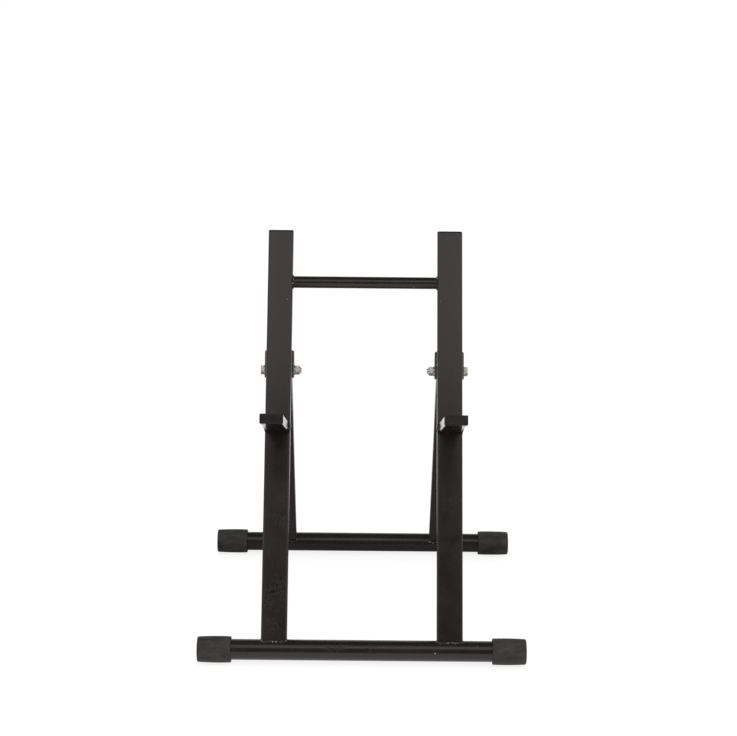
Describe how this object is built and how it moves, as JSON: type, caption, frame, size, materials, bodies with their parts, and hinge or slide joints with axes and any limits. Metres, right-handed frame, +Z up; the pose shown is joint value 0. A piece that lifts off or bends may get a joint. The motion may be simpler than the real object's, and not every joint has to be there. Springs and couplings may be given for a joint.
{
  "type": "folding amp stand",
  "caption": "Folding steel floor stand that holds a cabinet tilted back on hinged arms, with a hinged rear prop frame.",
  "frame": {"origin": "on the floor, at the centre of the open stand's bounding box: midway between the two foot bars and between the two posts", "axes": "+X to the right as seen from the front, +Y from the front foot bar to the rear one, +Z up"},
  "size_m": [0.508, 0.446, 0.6044],
  "materials": {
    "frame_paint": "satin black powder coat",
    "cap_rubber": "matt black moulded rubber",
    "plug_plastic": "matt black moulded plastic",
    "pin_steel": "satin black powder coat over a steel pin",
    "zinc_hardware": "bright zinc plate"
  },
  "bodies": {
    "front_frame": {"front_foot_bar": "frame_paint", "front_cap_left": "cap_rubber", "front_cap_right": "cap_rubber", "post_left": "frame_paint", "post_right": "frame_paint", "cross_brace": "frame_paint", "post_plug_left": "plug_plastic", "post_plug_right": "plug_plastic", "arm_bracket_left": "frame_paint", "arm_bracket_right": "frame_paint", "arm_pin_left": "pin_steel", "arm_pin_right": "pin_steel", "hinge_bracket_left": "frame_paint", "hinge_bracket_right": "frame_paint", "hinge_bolt_left": "zinc_hardware", "hinge_bolt_right": "zinc_hardware", "hinge_washers_left": "zinc_hardware", "hinge_washers_right": "zinc_hardware", "hinge_nut_left": "zinc_hardware", "hinge_nut_right": "zinc_hardware"},
    "rear_frame": {"rear_foot_bar": "frame_paint", "rear_cap_left": "cap_rubber", "rear_cap_right": "cap_rubber", "rear_leg_left": "frame_paint", "rear_leg_right": "frame_paint", "leg_sleeve_left": "frame_paint", "leg_sleeve_right": "frame_paint"},
    "left_arm": {"arm_left": "frame_paint", "arm_sleeve_left": "frame_paint", "arm_plug_left": "plug_plastic"},
    "right_arm": {"arm_right": "frame_paint", "arm_sleeve_right": "frame_paint", "arm_plug_right": "plug_plastic"}
  },
  "joints": [
    {"name": "rear_frame_fold", "type": "hinge", "parent": "front_frame", "child": "rear_frame", "pos_m": [0, 0.04696, 0.39217], "axis": [-1, 0, 0], "range_deg": [0, 52]},
    {"name": "left_arm_fold", "type": "hinge", "parent": "front_frame", "child": "left_arm", "pos_m": [-0.136, -0.04843, 0.33216], "axis": [-1, 0, 0], "range_deg": [0, 97]},
    {"name": "right_arm_fold", "type": "hinge", "parent": "front_frame", "child": "right_arm", "pos_m": [0.136, -0.04843, 0.33216], "axis": [-1, 0, 0], "range_deg": [0, 97]}
  ]
}
